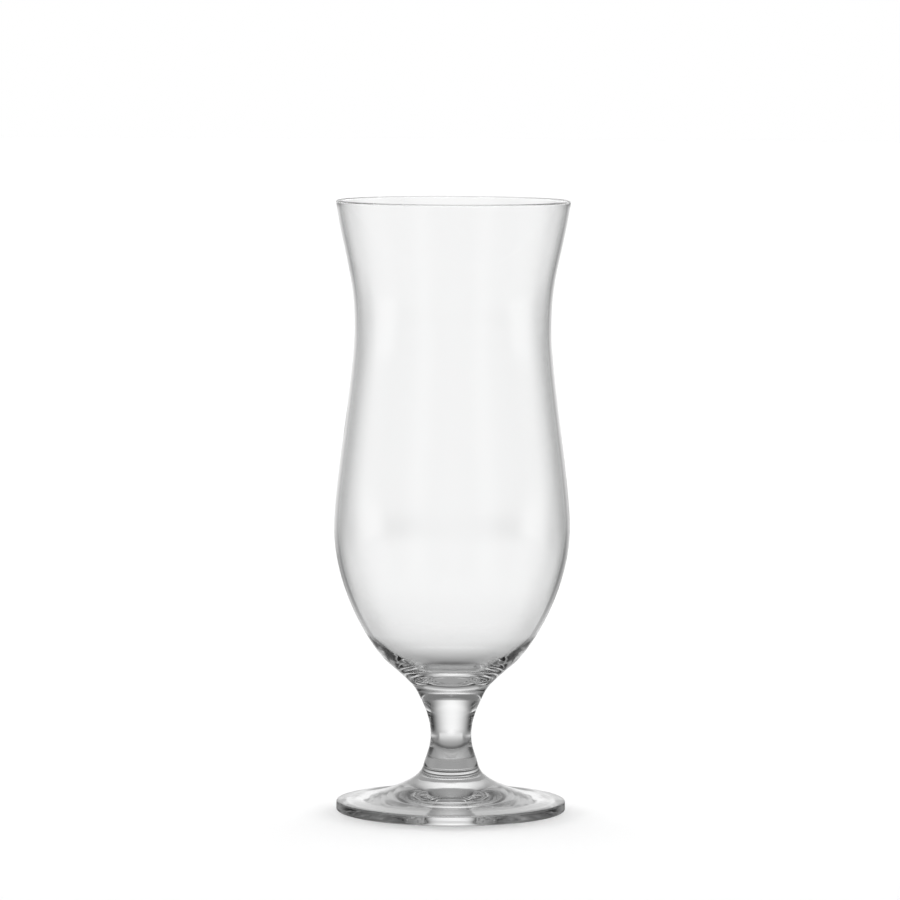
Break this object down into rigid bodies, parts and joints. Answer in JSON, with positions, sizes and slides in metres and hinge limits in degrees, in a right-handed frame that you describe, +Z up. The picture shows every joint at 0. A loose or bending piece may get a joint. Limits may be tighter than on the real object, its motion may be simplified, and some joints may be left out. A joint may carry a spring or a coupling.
{
  "type": "footed pilsner glass",
  "caption": "Waisted clear beer glass: a thin blown bowl with a flared lip and a full belly, on a short solid stem and a wide round foot.",
  "frame": {"origin": "where the glass's axis meets the surface that it stands on", "axes": "+Z up along the glass's axis, from the foot to the lip; X and Y are free, because the glass is round"},
  "size_m": [0.079, 0.079, 0.205],
  "materials": {
    "clear_glass": "clear, colourless, fire-polished soda glass, smooth and glossy all over"
  },
  "bodies": {
    "root": {"bowl": "clear_glass", "stem": "clear_glass", "foot": "clear_glass"}
  },
  "joints": []
}
